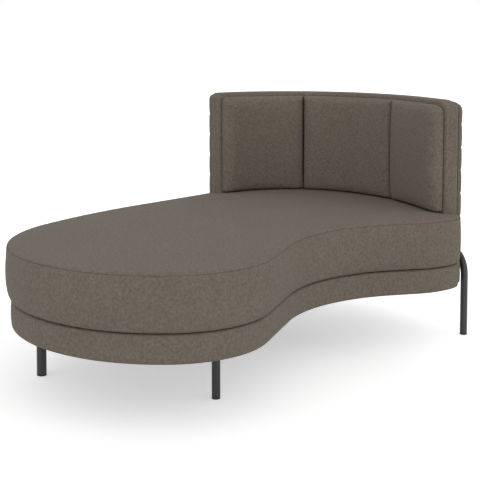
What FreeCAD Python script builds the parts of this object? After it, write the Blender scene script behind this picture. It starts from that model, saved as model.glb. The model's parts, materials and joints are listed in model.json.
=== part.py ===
import FreeCAD, Part
import math
import os

# Chaise longue: a kidney-shaped seat cushion on an inset upholstered base, with a
# curved, channelled backrest round the head end, carried by two straight tube legs
# and one bent tube frame behind the back. Millimetres, +Z up, floor at z = 0.
# +X runs from the foot end to the head end and +Y to the rear long edge. The origin
# is the middle of the object's bounding box, on the floor.

V = FreeCAD.Vector
UP = V(0, 0, 1)

# Heights
LEG_HEIGHT = 190.0            # floor to the underside of the base
BASE_HEIGHT = 84.0
SEAT_HEIGHT = 155.0           # side of the cushion, from the crease to the top seam
SEAT_CROWN = 10.0
BACK_TOP = 824.0              # floor to the top of the backrest

# Plan outline of the seat at its seam: tangent arcs and straights, walked with the
# seat on the left from the head end of the rear long edge. Turns are in degrees. The
# rear straight and the lobe's straight aren't given, because they close the outline.
REAR_EDGE_RADIUS = 2170.0
REAR_EDGE_TURN = 13.2
SHOULDER_RADIUS = 525.0
SHOULDER_TURN = 91.6
FOOT_RADIUS = 457.0
FOOT_TURN = 27.8
LOBE_RADIUS = 302.0
LOBE_TURN = 69.9
WAIST_RADIUS = 489.0
WAIST_TURN = 58.6
WAIST_STRAIGHT = 85.0
HEAD_FRONT_RADIUS = 288.0
HEAD_FRONT_TURN = 33.9
HEAD_CORNER_RADIUS = 93.0
HEAD_CORNER_TURN = 59.7
HEAD_SIDE_STRAIGHT = 202.0
HEAD_SIDE_RADIUS = 787.0
HEAD_SIDE_TURN = 29.9
REAR_CORNER_RADIUS = 422.0

# Seat cushion
SEAT_BULGE = 3.0              # fullest part of the side, outside the seam
SEAT_TUCK = 12.0              # how far the bottom edge is drawn in
TUCK_SHARPNESS = 12           # the higher, the nearer to the bottom the tuck stays
SEAT_ROLL = 5.0               # how far the top rolls in just above the seam
COVER = 2.0                   # fabric with its lining
TOPPER = 30.0
SOFT_GAP = 0.3                # between a soft piece and its neighbour

# Base
BASE_INSET = 14.0             # base cover, inside the seat's outline
BASE_EDGE_ROUND = 8.0
BASE_COVER_TURN_IN = 20.0     # fabric turned in under the bottom board
BASE_PADDING = 6.0
SIDE_BAND = 4.0               # bent plywood round the base
BOTTOM_BOARD = 12.0
DECK_BOARD = 15.0
DUST_COVER = 0.8
WEBBING_WIDTH = 60.0
WEBBING_THICKNESS = 2.0
WEBBING_PITCH = 95.0
WEBBING_LAP = 30.0            # webbing stapled to the deck past the opening
CROSS_RAIL_WIDTH = 30.0
BLOCK_SIZE = 110.0
BLOCK_CORNER = 4.0

# Places in plan, from the foot end and from the rear edge
FOOT_LEG_ALONG = 256.0
FOOT_LEG_ACROSS = 225.0
FRONT_LEG_ALONG = 440.0
FRONT_LEG_ACROSS = 780.0
FOOT_OPENING_ALONG = 560.0
FOOT_OPENING_ACROSS = 420.0
FOOT_OPENING_RADIUS = 255.0
HEAD_OPENING_ALONG = 1190.0
HEAD_OPENING_ACROSS = 500.0
HEAD_OPENING_LENGTH = 430.0
HEAD_OPENING_WIDTH = 470.0
HEAD_OPENING_CORNER = 60.0
CROSS_RAIL_ALONG = 895.0

# Backrest. Distances across it are offsets from the seat's outline, positive outwards.
# Distances along it start where the straight head side starts.
RIM_IN = -60.0                # inner face of the padded rim
RIM_ROUND = 18.0
RIM_PADDING = 6.0
BACK_SHORT = 14.0             # the back stops this far before the rear straight
PLY = 5.0
TOP_RAIL_HEIGHT = 45.0
BOTTOM_RAIL_HEIGHT = 40.0
POST_WIDTH = 40.0
POST_COUNT = 6
QUILT = 22.0                  # outer panel at the crest of its rows
QUILT_DIP = 4.0               # depth of its stitched rows
QUILT_ROWS = 8
QUILT_STEPS = 6               # slices to a row
QUILT_END = 24.0              # from the end of the rim to the panel's edge
QUILT_LIFT = 3.0              # from the underside of the base to the panel's edge
RIGHT_SEAM = 358.0            # seams between the inner cushion's channels
LEFT_SEAM = 856.0
CHANNEL = 46.0
CHANNEL_FULLNESS = 1.08       # crown at mid height
CHANNEL_SEAM_DEPTH = 18.0
CHANNEL_END_DEPTH = 30.0
CHANNEL_SHOULDER = 0.12       # share of a channel's width that a shoulder takes
CHANNEL_SHOULDER_FILL = 0.97  # thickness there, as a share of the whole
CHANNEL_KNEE = 0.35           # share of a shoulder where its slope turns steep
CHANNEL_KNEE_FILL = 0.62      # share of the depth regained at that place
CHANNEL_DROP = 13.0           # top of the inner cushion, below the top of the rim
CHANNEL_END = 5.0             # from the end of the rim to the inner cushion's end

# Metal
TUBE = 25.0
FOOT_TUBE = 30.0
TUBE_WALL = 1.5
FRAME_CLEAR = 9.0             # between the outer panel's crest and the frame's tube
FRAME_BEND = 72.0             # centreline radius of the two bends
FRAME_BAR_HEIGHT = 284.0      # centreline of the bar
FRAME_LEG_ALONG = 28.0        # right leg, from the start of the head side
GLIDE_HEIGHT = 6.0
GLIDE_PLUG = 18.0
GLIDE_ROUND = 1.2
FIT = 0.2                     # round a plug, screw or bolt in its hole
PLATE_SIZE = 90.0
PLATE_THICKNESS = 4.0
PLATE_CORNER = 12.0
SCREW = 5.0
SCREW_LENGTH = 22.0
SCREW_HEAD = 10.0
SCREW_HEAD_HEIGHT = 2.5
SCREW_PITCH = 66.0
BOLT = 8.0
BOLT_HEAD = 13.0
BOLT_HEAD_HEIGHT = 5.3
NUT_HEIGHT = 6.5
BOLT_TIP = 4.0                # bolt past its nut
WASHER = 22.0
WASHER_THICKNESS = 1.6
STANDOFF = 16.0
STANDOFF_THREAD = 15.0
STANDOFF_COUNT = 4

# Levels that follow from the sizes
BASE_BOTTOM = LEG_HEIGHT
BASE_TOP = BASE_BOTTOM + BASE_HEIGHT
SEAT_BOTTOM = BASE_TOP + SOFT_GAP
SEAM = BASE_TOP + SEAT_HEIGHT
SEAT_TOP = SEAM + SOFT_GAP + SEAT_CROWN
BOARD_BOTTOM = BASE_BOTTOM + COVER + SOFT_GAP
BOARD_TOP = BOARD_BOTTOM + BOTTOM_BOARD
DECK_TOP = BASE_TOP - WEBBING_THICKNESS - 2 * SOFT_GAP
DECK_BOTTOM = DECK_TOP - DECK_BOARD
DUST_BOTTOM = BOARD_BOTTOM - SOFT_GAP - DUST_COVER

# Offsets that follow from the sizes
PADDING_OUT = -BASE_INSET - COVER - SOFT_GAP
BOARD_EDGE = PADDING_OUT - BASE_PADDING - SOFT_GAP
BAND_IN = BOARD_EDGE - SIDE_BAND
TURN_IN_EDGE = -BASE_INSET - COVER - BASE_COVER_TURN_IN
PANEL_IN = -BASE_INSET + SOFT_GAP
PANEL_OUT = PANEL_IN + PLY
RIM_OUT = PANEL_OUT + SOFT_GAP + COVER
QUILT_IN = RIM_OUT + SOFT_GAP
QUILT_OUT = QUILT_IN + QUILT
SKIN = COVER + SOFT_GAP
RIM_LAYERS = SKIN + RIM_PADDING + SOFT_GAP
INNER_PLY_IN = RIM_IN + RIM_LAYERS
RAIL_IN = INNER_PLY_IN + PLY + SOFT_GAP
RAIL_OUT = PANEL_IN - SOFT_GAP
FRAME_OFFSET = QUILT_OUT + FRAME_CLEAR + TUBE / 2
RECESS_DEPTH = BOLT_HEAD_HEIGHT + WASHER_THICKNESS + 2 * FIT


def left_of(heading):
    """Unit vector to the left of a heading given in radians."""
    return V(-math.sin(heading), math.cos(heading), 0)


def along(heading):
    """Unit vector along a heading given in radians."""
    return V(math.cos(heading), math.sin(heading), 0)


def outline_steps():
    """The outline as steps of (radius, turn in radians) or (None, length), with the
    rear straight and the lobe's straight solved so that it closes."""
    straights = {"waist": WAIST_STRAIGHT, "side": HEAD_SIDE_STRAIGHT}
    shape = [
        "rear",
        (REAR_EDGE_RADIUS, REAR_EDGE_TURN),
        (SHOULDER_RADIUS, SHOULDER_TURN),
        (FOOT_RADIUS, FOOT_TURN),
        (LOBE_RADIUS, LOBE_TURN),
        "lobe",
        (WAIST_RADIUS, -WAIST_TURN),
        "waist",
        (HEAD_FRONT_RADIUS, HEAD_FRONT_TURN),
        (HEAD_CORNER_RADIUS, HEAD_CORNER_TURN),
        "side",
        (HEAD_SIDE_RADIUS, HEAD_SIDE_TURN),
    ]
    turned = sum(step[1] for step in shape if isinstance(step, tuple))
    shape.append((REAR_CORNER_RADIUS, 360.0 - turned))
    heading = math.pi
    reach = V(0, 0, 0)
    ways = {}
    for step in shape:
        if isinstance(step, tuple):
            turn = math.radians(step[1])
            arm = math.copysign(step[0], turn)
            reach += left_of(heading) * arm - left_of(heading + turn) * arm
            heading += turn
        elif step in straights:
            reach += along(heading) * straights[step]
        else:
            ways[step] = along(heading)
    rear, lobe = ways["rear"], ways["lobe"]
    cross = rear.x * lobe.y - rear.y * lobe.x
    straights["rear"] = (reach.y * lobe.x - reach.x * lobe.y) / cross
    straights["lobe"] = (reach.x * rear.y - reach.y * rear.x) / cross
    steps = []
    for step in shape:
        if isinstance(step, tuple):
            steps.append((step[0], math.radians(step[1])))
        else:
            steps.append((None, straights[step]))
    return steps


class Leg:
    """One leg of the outline: a straight, or an arc that turns left or right."""

    def __init__(self, start, heading, radius, amount):
        self.start = start
        self.heading = heading
        self.radius = radius
        self.amount = amount
        self.length = amount if radius is None else radius * abs(amount)

    def heading_at(self, travelled):
        if self.radius is None:
            return self.heading
        return self.heading + math.copysign(travelled / self.radius, self.amount)

    def at(self, travelled, offset):
        """The point a distance into the leg, moved out of the seat by an offset."""
        heading = self.heading_at(travelled)
        if self.radius is None:
            return self.start + along(heading) * travelled - left_of(heading) * offset
        arm = math.copysign(self.radius, self.amount)
        return self.start + left_of(self.heading) * arm - left_of(heading) * (arm + offset)

    def edge(self, offset, z, first, last):
        """The leg between two distances into it, at an offset and a height."""
        a = self.at(first, offset) + UP * z
        b = self.at(last, offset) + UP * z
        if self.radius is None:
            return Part.LineSegment(a, b).toShape()
        middle = self.at((first + last) / 2, offset) + UP * z
        return Part.Arc(a, middle, b).toShape()


def outline_legs(start, share=1.0):
    """All legs of the outline from a start point, at full size or a share of it."""
    legs = []
    heading = math.pi
    for radius, amount in outline_steps():
        if radius is None:
            leg = Leg(start, heading, None, amount * share)
        else:
            leg = Leg(start, heading, radius * share, amount)
        legs.append(leg)
        start = leg.at(leg.length, 0.0)
        heading = leg.heading_at(leg.length)
    return legs


def closed_wire(legs, offset, z):
    return Part.Wire([leg.edge(offset, z, 0.0, leg.length) for leg in legs])


def placed_outline():
    """The outline with the whole object's box centred on the origin."""
    legs = outline_legs(V(0, 0, 0))
    seat = closed_wire(legs, SEAT_BULGE, 0).BoundBox
    frame = closed_wire(legs, FRAME_OFFSET + TUBE / 2, 0).BoundBox
    return outline_legs(V(-(seat.XMin + frame.XMax) / 2, -(seat.YMin + frame.YMax) / 2, 0))


OUTLINE = placed_outline()
SEAM_BOX = closed_wire(OUTLINE, 0, 0).BoundBox
SEAT_MIDDLE = SEAM_BOX.Center
BACK_LEGS = OUTLINE[10:] + OUTLINE[:1]
CORNER_END = sum(leg.length for leg in OUTLINE[10:])
BACK_END = CORNER_END - BACK_SHORT
FIRST = RIM_ROUND             # the wooden frame's ends, clear of the rim's round edges
LAST = BACK_END - RIM_ROUND
WOOD_TOP = BACK_TOP - RIM_ROUND
FRAME_FIRST = FRAME_LEG_ALONG + FRAME_BEND
FRAME_LAST = CORNER_END       # the bent tube's bar, between its two bends


def plan_point(from_foot, from_rear):
    """A point in plan, given from the foot end and from the rear edge."""
    return V(SEAM_BOX.XMin + from_foot, SEAM_BOX.YMax - from_rear, 0)


FOOT_LEG = plan_point(FOOT_LEG_ALONG, FOOT_LEG_ACROSS)
FRONT_LEG = plan_point(FRONT_LEG_ALONG, FRONT_LEG_ACROSS)
FOOT_OPENING = plan_point(FOOT_OPENING_ALONG, FOOT_OPENING_ACROSS)
HEAD_OPENING = plan_point(HEAD_OPENING_ALONG, HEAD_OPENING_ACROSS)


def back_point(distance, offset, z=0.0):
    """A point beside the back's part of the outline, and the heading there."""
    for leg in BACK_LEGS:
        if distance <= leg.length or leg is BACK_LEGS[-1]:
            return leg.at(distance, offset) + UP * z, leg.heading_at(distance)
        distance -= leg.length


def back_edges(offset, first, last, z):
    """The back's part of the outline from one distance to another."""
    edges = []
    travelled = 0.0
    for leg in BACK_LEGS:
        start = first - travelled if leg is BACK_LEGS[0] else max(first - travelled, 0.0)
        stop = min(last - travelled, leg.length)
        if stop > start + 1e-6:
            edges.append(leg.edge(offset, z, start, stop))
        travelled += leg.length
    return edges


def line(a, b):
    return Part.LineSegment(a, b).toShape()


def back_wire(inner, outer, z, first, last):
    """A closed slice of the back between two offsets, at one height."""
    start = line(back_point(first, inner, z)[0], back_point(first, outer, z)[0])
    stop = line(back_point(last, outer, z)[0], back_point(last, inner, z)[0])
    inside = back_edges(inner, first, last, z)
    inside.reverse()
    return Part.Wire([start] + back_edges(outer, first, last, z) + [stop] + inside)


def wall(inner, outer, bottom, top, first, last):
    """An upright wall that follows the back between two offsets."""
    return Part.Face(back_wire(inner, outer, bottom, first, last)).extrude(UP * (top - bottom))


def board(offset, bottom, top):
    """A flat board with the seat's outline, moved out by an offset."""
    return Part.Face(closed_wire(OUTLINE, offset, bottom)).extrude(UP * (top - bottom))


def stack(sections, ruled=False):
    """A solid through outlines, each an offset, a height and a share of full size."""
    wires = []
    for offset, z, share in sections:
        legs = outline_legs(SEAT_MIDDLE + (OUTLINE[0].start - SEAT_MIDDLE) * share, share)
        wires.append(closed_wire(legs, offset, z))
    return Part.makeLoft(wires, True, ruled)


def cylinder(diameter, height, base, axis=UP):
    return Part.makeCylinder(diameter / 2, height, base, axis)


def rounded_box(length, width, height, corner, base):
    """A box with rounded upright edges, its underside centred on a point."""
    box = Part.makeBox(length, width, height, base - V(length / 2, width / 2, 0))
    upright = [edge for edge in box.Edges if edge.BoundBox.ZLength > height / 2]
    return box.makeFillet(corner, upright)


def export(name, shape):
    shape.exportStep("parts/" + name + ".step")


# Seat cushion

def side_offset(z):
    """The cushion's side at a height: drawn in at the crease and full at mid height."""
    share = (z - SEAT_BOTTOM) / (SEAM - SEAT_BOTTOM)
    return 4 * SEAT_BULGE * share * (1 - share) - SEAT_TUCK * (1 - share) ** TUCK_SHARPNESS


def side_sections(inset, bottom=SEAT_BOTTOM, steps=8):
    """Sections of the side, drawn in by an inset, from a bottom height to the seam."""
    sections = [(-SEAT_TUCK - inset, bottom, 1.0)]
    for number in range(1, steps + 1):
        z = SEAT_BOTTOM + (SEAM - SEAT_BOTTOM) * number / steps
        sections.append((side_offset(z) - inset, z, 1.0))
    return sections


def crown_sections(inset, base):
    """The cushion's top, which rolls in from the seam and rises to the crown."""
    profile = [
        (0.0, 0.0, 1.0), (0.32, -SEAT_ROLL, 1.0), (0.52, -3 * SEAT_ROLL, 1.0),
        (0.7, 0.0, 0.92), (0.87, 0.0, 0.8), (1.0, 0.0, 0.6),
    ]
    return [(offset - inset, base + SEAT_CROWN * rise, share) for rise, offset, share in profile]


def back_room(clearance):
    """The space that the backrest needs in the cushion, open on the outside."""
    outside = FRAME_OFFSET + TUBE
    return wall(RIM_IN - clearance, outside, 0.0, BACK_TOP, -clearance, BACK_END + clearance)


def make_seat():
    room = back_room(SOFT_GAP)
    lined_room = back_room(SOFT_GAP + SKIN)
    hollow = stack(side_sections(COVER)).cut(back_room(SOFT_GAP + COVER))
    export("seat_cover_band", stack(side_sections(0.0)).cut(room).cut(hollow))
    dome = stack(crown_sections(0.0, SEAM + SOFT_GAP), True)
    under = dome.copy()
    under.translate(UP * -COVER)
    export("seat_cover_top", dome.cut(room).cut(under))
    sheet = board(-SEAT_TUCK - SKIN, SEAT_BOTTOM, SEAT_BOTTOM + COVER)
    export("seat_cover_bottom", sheet.cut(lined_room))
    core_bottom = SEAT_BOTTOM + SKIN
    topper_bottom = SEAM - TOPPER
    core = stack(side_sections(SKIN + SOFT_GAP, core_bottom))
    below = board(SEAT_BULGE + COVER, core_bottom, topper_bottom - SOFT_GAP)
    export("seat_foam_core", core.common(below).cut(lined_room))
    shoulder = (side_offset(topper_bottom) - SKIN - SOFT_GAP, topper_bottom, 1.0)
    topper = stack([shoulder] + crown_sections(SKIN, SEAM - COVER), True)
    export("seat_topper", topper.cut(lined_room))


# Base

def leg_screw_holes():
    """Holes for both legs' screws, up through the underside of the base."""
    return Part.makeCompound([
        cylinder(SCREW + 2 * FIT, 2 * SCREW_LENGTH, point + UP * (DUST_BOTTOM - SCREW_LENGTH))
        for leg in (FOOT_LEG, FRONT_LEG) for point in screw_points(leg)
    ])


def openings(bottom, top):
    """The two openings in the boards, which the webbing spans."""
    height = top - bottom
    foot = cylinder(2 * FOOT_OPENING_RADIUS, height, FOOT_OPENING + UP * bottom)
    head = rounded_box(HEAD_OPENING_LENGTH, HEAD_OPENING_WIDTH, height, HEAD_OPENING_CORNER,
                       HEAD_OPENING + UP * bottom)
    return Part.makeCompound([foot, head])


def cover_sections(inset, bottom, top, corner):
    """The base cover's outside or inside: rounded under, then upright."""
    edge = -BASE_INSET - inset
    sections = []
    for degrees in (0, 22.5, 45, 67.5, 90):
        turn = math.radians(degrees)
        sections.append((edge - corner * (1 - math.sin(turn)), bottom + corner * (1 - math.cos(turn)), 1.0))
    return sections + [(edge, top, 1.0)]


def webbing_straps():
    """Elastic straps across both openings, stapled to the deck."""
    straps = []
    spans = (
        (FOOT_OPENING, 2 * FOOT_OPENING_RADIUS, 2 * FOOT_OPENING_RADIUS),
        (HEAD_OPENING, HEAD_OPENING_LENGTH, HEAD_OPENING_WIDTH),
    )
    for centre, length, width in spans:
        count = int(length // WEBBING_PITCH)
        reach = width + 2 * WEBBING_LAP
        for number in range(count):
            x = centre.x + (number - (count - 1) / 2) * WEBBING_PITCH
            corner = V(x - WEBBING_WIDTH / 2, centre.y - reach / 2, DECK_TOP + SOFT_GAP)
            straps.append(Part.makeBox(WEBBING_WIDTH, reach, WEBBING_THICKNESS, corner))
    return straps


def make_base():
    holes = leg_screw_holes()
    bottom_board = board(BOARD_EDGE, BOARD_BOTTOM, BOARD_TOP).cut(openings(BOARD_BOTTOM, BOARD_TOP))
    export("base_bottom_board", bottom_board.cut(holes))
    deck = board(BOARD_EDGE, DECK_BOTTOM, DECK_TOP).cut(openings(DECK_BOTTOM, DECK_TOP))
    export("base_deck_board", deck.cut(rail_bolt_holes()))
    band = board(BOARD_EDGE, BOARD_TOP, DECK_BOTTOM)
    export("base_side_band", band.cut(board(BAND_IN, BOARD_TOP, DECK_BOTTOM)))
    height = DECK_BOTTOM - BOARD_TOP
    blocks = [
        rounded_box(BLOCK_SIZE, BLOCK_SIZE, height, BLOCK_CORNER, leg + UP * BOARD_TOP).cut(holes)
        for leg in (FOOT_LEG, FRONT_LEG)
    ]
    export("base_leg_blocks", Part.makeCompound(blocks))
    rail_corner = plan_point(CROSS_RAIL_ALONG - CROSS_RAIL_WIDTH / 2, SEAM_BOX.YLength) + UP * BOARD_TOP
    rail = Part.makeBox(CROSS_RAIL_WIDTH, SEAM_BOX.YLength, height, rail_corner)
    export("base_cross_rail", rail.common(board(BAND_IN - SOFT_GAP, BOARD_TOP, DECK_BOTTOM)))
    export("base_webbing", Part.makeCompound(webbing_straps()))
    padding_bottom = BASE_BOTTOM + COVER + BASE_EDGE_ROUND
    padding = board(PADDING_OUT, padding_bottom, DECK_TOP)
    export("base_padding", padding.cut(board(BOARD_EDGE + SOFT_GAP, padding_bottom, DECK_TOP)))
    outside = stack(cover_sections(0.0, BASE_BOTTOM, DECK_TOP, BASE_EDGE_ROUND), True)
    inner_round = BASE_EDGE_ROUND - COVER
    inside = stack(cover_sections(COVER, BASE_BOTTOM + COVER, DECK_TOP + COVER, inner_round), True)
    mouth = board(TURN_IN_EDGE, BASE_BOTTOM - COVER, BASE_BOTTOM + 2 * COVER)
    export("base_cover", outside.cut(inside).cut(mouth))
    dust = board(TURN_IN_EDGE - SOFT_GAP, DUST_BOTTOM, DUST_BOTTOM + DUST_COVER)
    export("dust_cover", dust.cut(holes))


# Backrest

def rim_form(shrink, drop=0.0):
    """The padded rim's outside, or a smaller copy of it for what lies inside, which
    may reach lower by a drop."""
    bottom, top = BASE_TOP + SOFT_GAP - drop, BACK_TOP - shrink
    inner, outer = RIM_IN + shrink, RIM_OUT - shrink
    first, last = shrink, BACK_END - shrink
    form = wall(inner, outer, bottom, top, first, last)
    corners = [back_point(d, offset)[0] for d in (first, last) for offset in (inner, outer)]
    round_over = []
    for edge in form.Edges:
        middle = edge.BoundBox.Center
        middle.z = 0.0
        at_end = edge.BoundBox.ZLength > BACK_TOP / 4 and min(middle.sub(c).Length for c in corners) < PLY
        at_top = edge.BoundBox.ZMin > top - SOFT_GAP
        if at_end or at_top:
            round_over.append(edge)
    return form.makeFillet(RIM_ROUND - shrink, round_over)


def make_rim():
    """The rim's fabric cover and the padding in it, over the wooden frame."""
    shell = rim_form(0.0).cut(rim_form(COVER, COVER))
    export("back_rim_cover", shell.cut(across_back(STANDOFF + 2 * FIT, PANEL_OUT, QUILT_OUT)))
    frame_room = wall(INNER_PLY_IN - SOFT_GAP, PANEL_OUT + SOFT_GAP, BASE_BOTTOM,
                      WOOD_TOP + SOFT_GAP, FIRST - SOFT_GAP, LAST + SOFT_GAP)
    export("back_padding", rim_form(SKIN).cut(frame_room))


def make_back_frame():
    """The curved wooden frame: two skins of bent plywood over rails and posts."""
    bottom = DECK_TOP + SOFT_GAP
    post_bottom = bottom + BOTTOM_RAIL_HEIGHT
    post_top = WOOD_TOP - TOP_RAIL_HEIGHT
    export("back_inner_panel", wall(INNER_PLY_IN, INNER_PLY_IN + PLY, bottom, WOOD_TOP, FIRST, LAST))
    outer_panel = wall(PANEL_IN, PANEL_OUT, BASE_BOTTOM + QUILT_LIFT, WOOD_TOP, FIRST, LAST)
    export("back_outer_panel", outer_panel.cut(across_back(BOLT + 2 * FIT, RIM_IN, QUILT_OUT)))
    rail = wall(RAIL_IN, RAIL_OUT, bottom, post_bottom, FIRST, LAST)
    rail = rail.cut(rail_bolt_holes()).cut(across_back(BOLT + 2 * FIT, RIM_IN, QUILT_OUT))
    recess = across_back(WASHER + 4 * FIT, RIM_IN, RAIL_IN + RECESS_DEPTH)
    export("back_bottom_rail", rail.cut(recess))
    export("back_top_rail", wall(RAIL_IN, RAIL_OUT, post_top, WOOD_TOP, FIRST, LAST))
    posts = [
        wall(RAIL_IN, RAIL_OUT, post_bottom, post_top, start, start + POST_WIDTH)
        for start in post_starts()
    ]
    export("back_posts", Part.makeCompound(posts))


def post_starts():
    step = (LAST - FIRST - POST_WIDTH) / (POST_COUNT - 1)
    return [FIRST + step * number for number in range(POST_COUNT)]


def make_quilt():
    """The quilted outer panel, with its stitched rows."""
    bottom = BASE_BOTTOM + QUILT_LIFT
    top = BACK_TOP - RIM_ROUND
    step = (top - bottom) / (QUILT_ROWS * QUILT_STEPS)
    last = QUILT_ROWS * QUILT_STEPS
    wires = []
    for number in range(last + 1):
        dip = QUILT_DIP * math.cos(math.pi * number / QUILT_STEPS) ** 4
        edge = QUILT_DIP if number in (0, last) else 0.0
        wires.append(back_wire(QUILT_IN, QUILT_OUT - dip - edge, bottom + step * number, QUILT_END,
                               BACK_END - QUILT_END))
    panel = Part.makeLoft(wires, True, True)
    export("back_quilted_panel", panel.cut(across_back(STANDOFF + 2 * FIT, RIM_IN, FRAME_OFFSET)))


def channel_wire(first, last, z, fullness, first_depth, last_depth):
    """One channel at one height: flat along the rim, with a crowned front that drops
    by a depth at each end."""
    base = RIM_IN - SOFT_GAP
    crest = CHANNEL * fullness
    shoulder = (last - first) * CHANNEL_SHOULDER

    def front(distance, thickness):
        return back_point(distance, base - thickness * fullness, z)[0]

    near, far = CHANNEL - first_depth, CHANNEL - last_depth
    knee = shoulder * CHANNEL_KNEE
    full = CHANNEL * CHANNEL_SHOULDER_FILL
    points = [
        front(last, far),
        front(last - knee, far + last_depth * CHANNEL_KNEE_FILL),
        front(last - shoulder, full),
        back_point((first + last) / 2, base - crest, z)[0],
        front(first + shoulder, full),
        front(first + knee, near + first_depth * CHANNEL_KNEE_FILL),
        front(first, near),
    ]
    arcs = [Part.Arc(*points[i:i + 3]).toShape() for i in (0, 2, 4)]
    start = line(points[-1], back_point(first, base, z)[0])
    stop = line(back_point(last, base, z)[0], points[0])
    return Part.Wire(back_edges(base, first, last, z) + [stop] + arcs + [start])


def make_channels():
    """The inner cushion's three channels, sewn side by side."""
    bottom = SEAT_TOP + SOFT_GAP
    height = BACK_TOP - CHANNEL_DROP - bottom
    right, left = CHANNEL_END, BACK_END - CHANNEL_END
    half = SOFT_GAP / 2
    pads = (
        ("back_channel_right", right, RIGHT_SEAM - half, CHANNEL_END_DEPTH, CHANNEL_SEAM_DEPTH),
        ("back_channel_middle", RIGHT_SEAM + half, LEFT_SEAM - half, CHANNEL_SEAM_DEPTH, CHANNEL_SEAM_DEPTH),
        ("back_channel_left", LEFT_SEAM + half, left, CHANNEL_SEAM_DEPTH, CHANNEL_END_DEPTH),
    )
    profile = (
        (0.0, 0.6), (0.02, 0.78), (0.05, 0.9), (0.11, 0.98), (0.25, 1.04), (0.5, CHANNEL_FULLNESS),
        (0.75, 1.04), (0.88, 0.98), (0.94, 0.9), (0.975, 0.76), (0.993, 0.6), (1.0, 0.48),
    )
    for name, first, last, first_depth, last_depth in pads:
        wires = [
            channel_wire(first, last, bottom + height * share, fullness, first_depth, last_depth)
            for share, fullness in profile
        ]
        export(name, Part.makeLoft(wires, True, True))


# Rear frame

def frame_bend(distance, way):
    """Foot, knee, middle of the bend and top of the bend at one end of the bar."""
    top, heading = back_point(distance, FRAME_OFFSET, FRAME_BAR_HEIGHT)
    out = along(heading) * way * FRAME_BEND
    drop = UP * -FRAME_BEND
    middle = top + out * math.sin(math.pi / 4) + drop * (1 - math.cos(math.pi / 4))
    knee = top + out + drop
    return V(knee.x, knee.y, GLIDE_HEIGHT), knee, middle, top


def frame_path():
    """Centreline of the bent tube: up, round the outside of the back, and down again."""
    right = frame_bend(FRAME_FIRST, -1)
    left = frame_bend(FRAME_LAST, 1)
    edges = [line(right[0], right[1]), Part.Arc(*right[1:]).toShape()]
    edges += back_edges(FRAME_OFFSET, FRAME_FIRST, FRAME_LAST, FRAME_BAR_HEIGHT)
    edges += [Part.Arc(left[3], left[2], left[1]).toShape(), line(left[1], left[0])]
    return edges, right[0], left[0]


def swept(diameter, edges, start):
    """A round bar along a path that starts upwards."""
    circle = Part.Wire(Part.makeCircle(diameter / 2, start, UP))
    return Part.Wire(edges).makePipeShell([circle], True, False)


def standoff_places():
    """Where the bar is held to the back's bottom rail, along the outline."""
    span = FRAME_LAST - FRAME_FIRST
    return [FRAME_FIRST + span * (number + 0.5) / STANDOFF_COUNT for number in range(STANDOFF_COUNT)]


def outward(distance, first, last, diameter):
    """A cylinder across the outline at the bar's height, between two offsets."""
    point, heading = back_point(distance, first, FRAME_BAR_HEIGHT)
    return cylinder(diameter, last - first, point, -left_of(heading))


def across_back(diameter, first, last):
    """Holes across the back for all standoffs or their bolts."""
    return Part.makeCompound([outward(d, first, last, diameter) for d in standoff_places()])


def make_rear_frame():
    edges, right_foot, left_foot = frame_path()
    tube = swept(TUBE, edges, right_foot)
    export("rear_frame_tube", tube.cut(swept(TUBE - 2 * TUBE_WALL, edges, right_foot)))
    saddle = swept(TUBE + 2 * FIT, edges, right_foot)
    seat = PANEL_OUT + FIT
    tip = seat + STANDOFF_THREAD
    washer_face = RAIL_IN + RECESS_DEPTH
    head_face = washer_face - WASHER_THICKNESS
    standoffs = []
    bolts = []
    washers = []
    for distance in standoff_places():
        post = outward(distance, seat, FRAME_OFFSET, STANDOFF).cut(saddle)
        standoffs.append(post.cut(outward(distance, seat, tip, BOLT + 2 * FIT)))
        head = outward(distance, head_face - BOLT_HEAD_HEIGHT, head_face, BOLT_HEAD)
        shank = outward(distance, head_face, tip - FIT, BOLT)
        bolts.append(head.fuse(shank).removeSplitter())
        ring = outward(distance, head_face, washer_face, WASHER)
        washers.append(ring.cut(outward(distance, head_face, washer_face, BOLT + 2 * FIT)))
    export("rear_frame_standoffs", Part.makeCompound(standoffs))
    export("rear_frame_bolts", Part.makeCompound(bolts))
    export("rear_frame_washers", Part.makeCompound(washers))
    export("rear_glide_right", glide(right_foot, TUBE))
    export("rear_glide_left", glide(left_foot, TUBE))


# Straight legs

def glide(tube_end, diameter):
    """A plastic foot: a disc under the tube with a plug in its bore."""
    disc = cylinder(diameter, GLIDE_HEIGHT, V(tube_end.x, tube_end.y, 0))
    disc = disc.makeFillet(GLIDE_ROUND, [edge for edge in disc.Edges if edge.BoundBox.ZMax < GLIDE_ROUND])
    bore = diameter - 2 * TUBE_WALL - 2 * FIT
    plug = cylinder(bore, GLIDE_PLUG, V(tube_end.x, tube_end.y, GLIDE_HEIGHT))
    return disc.fuse(plug).removeSplitter()


def screw_points(leg):
    half = SCREW_PITCH / 2
    return [leg + V(x, y, 0) for x in (-half, half) for y in (-half, half)]


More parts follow.
